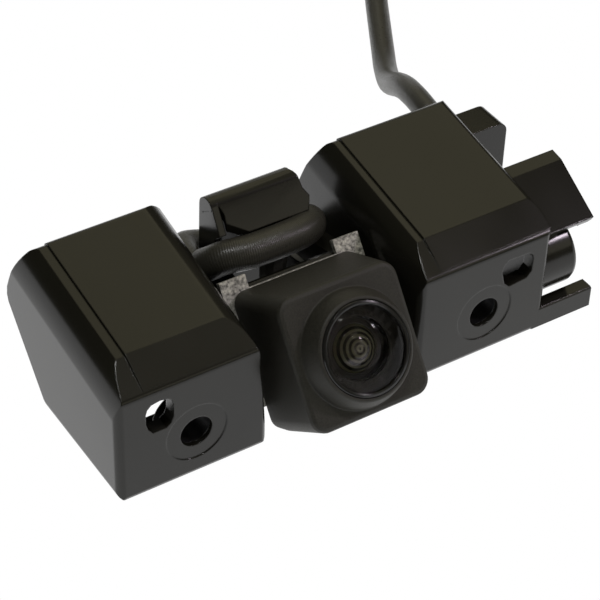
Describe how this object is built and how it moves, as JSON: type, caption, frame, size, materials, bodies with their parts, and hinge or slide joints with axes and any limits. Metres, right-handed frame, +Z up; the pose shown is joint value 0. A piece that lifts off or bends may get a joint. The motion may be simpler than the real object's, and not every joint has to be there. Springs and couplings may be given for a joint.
{
  "type": "backup camera",
  "caption": "Rear-view camera with a dome lens on a black two-box bracket, with screw holes, end tabs and a looped lead that ends in a small latched connector.",
  "frame": {"origin": "centre of the footprint of the bracket and camera without the free lead, on the base", "axes": "+X along the bracket from the plain end to the end with the tabs, +Y away from the lens side, +Z up"},
  "size_m": [0.1509, 0.2003, 0.0319],
  "materials": {
    "bracket_black": "gloss",
    "camera_black": "matt",
    "ring_black": "gloss",
    "plate_grey": "speckled matt",
    "steel": "satin",
    "dark_steel": "satin",
    "dome_glass": "gloss",
    "lens_glass": "gloss",
    "filter_glass": "gloss",
    "seal_rubber": "matt",
    "lead_jacket": "matt",
    "tie_black": "matt",
    "board_green": "satin",
    "chip_black": "matt",
    "header_cream": "matt",
    "wire_red": "satin",
    "plug_black": "satin",
    "plug_seal_orange": "matt",
    "plug_lock_red": "satin",
    "terminal_brass": "satin"
  },
  "bodies": {
    "camera": {"left_cover": "bracket_black", "right_cover": "bracket_black", "center_bridge": "bracket_black", "bridge_screws": "steel", "screw_sleeves": "dark_steel", "retaining_plate": "plate_grey", "front_housing": "camera_black", "housing_seal": "seal_rubber", "rear_housing": "camera_black", "housing_screws": "steel", "lens_barrel": "camera_black", "barrel_seal": "seal_rubber", "lens_ring": "ring_black", "front_lens": "dome_glass", "second_lens": "lens_glass", "lens_spacers": "camera_black", "aperture_stop": "camera_black", "rear_lenses": "lens_glass", "lens_holder": "camera_black", "ir_filter": "filter_glass", "image_sensor": "chip_black", "sensor_board": "board_green", "board_connector": "chip_black", "processor_board": "board_green", "board_chips": "chip_black", "lead_header": "header_cream", "inner_wires": "wire_red", "cable_gland": "lead_jacket", "inner_lead": "lead_jacket", "lead_wrap": "lead_jacket", "rear_lead": "lead_jacket", "cord_boot": "lead_jacket", "cord_tube": "lead_jacket", "cord_coil": "lead_jacket", "cord_tail": "lead_jacket", "cord_tie": "tie_black", "plug_body": "plug_black", "plug_seal": "plug_seal_orange", "plug_terminals": "terminal_brass"},
    "latch": {"plug_latch": "plug_black"},
    "lock": {"plug_lock": "plug_lock_red"}
  },
  "joints": [
    {"name": "latch_rock", "type": "hinge", "parent": "camera", "child": "latch", "pos_m": [0.06881, 0.14766, 0.009], "axis": [0.342, 0.9397, 0], "range_deg": [0, 5], "stiffness_Nm_per_rad": 0.02, "springref_deg": -5.73},
    {"name": "lock_slide", "type": "slide", "parent": "camera", "child": "lock", "axis": [-0.9397, 0.342, 0], "range_m": [0, 0.002]}
  ]
}
